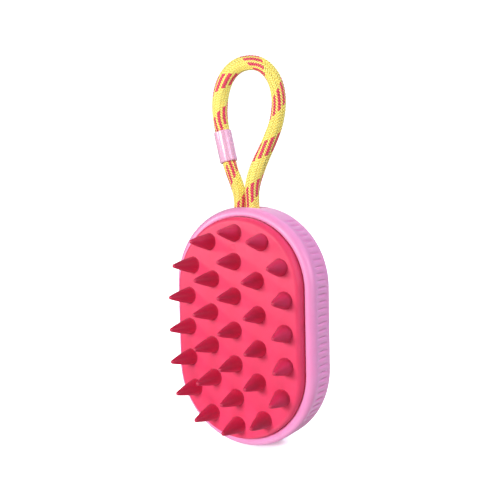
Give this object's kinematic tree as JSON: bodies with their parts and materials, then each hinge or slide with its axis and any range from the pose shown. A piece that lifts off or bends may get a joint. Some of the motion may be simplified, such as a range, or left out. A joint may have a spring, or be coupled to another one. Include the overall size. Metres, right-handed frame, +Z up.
{
  "type": "bristle brush",
  "caption": "Hand-held oval grooming brush with a soft domed pad of conical silicone bristles, a ribbed shell and a braided rope hanging loop.",
  "frame": {"origin": "inside of the rope loop's crown, on the brush's centre plane, where a hook carries the hanging brush", "axes": "+Z up along the brush's height towards the loop; bristles face -Y and the flat back faces +Y; X across the brush's width"},
  "size_m": [0.0796, 0.0428, 0.1942],
  "materials": {
    "shell": "soft-touch satin",
    "pad": "matte silicone",
    "bristles": "matte silicone",
    "plate": "moulded",
    "screws": "zinc plated",
    "pin": "polished",
    "cord": "braided polyester",
    "sleeve": "soft gloss",
    "crimp": "satin"
  },
  "bodies": {
    "lanyard": {"loop_cord": "cord", "cord_sleeve": "sleeve", "cord_crimp": "crimp"},
    "brush": {"body_shell": "shell", "bristle_pad": "pad", "bristles": "bristles", "backing_plate": "plate", "plate_screws": "screws", "anchor_pin": "pin", "cord_bight": "cord"}
  },
  "joints": [
    {"name": "brush_swing", "type": "hinge", "parent": "lanyard", "child": "brush", "pos_m": [0, 0, -0.063], "axis": [1, 0, 0], "range_deg": [-85, 85]}
  ]
}
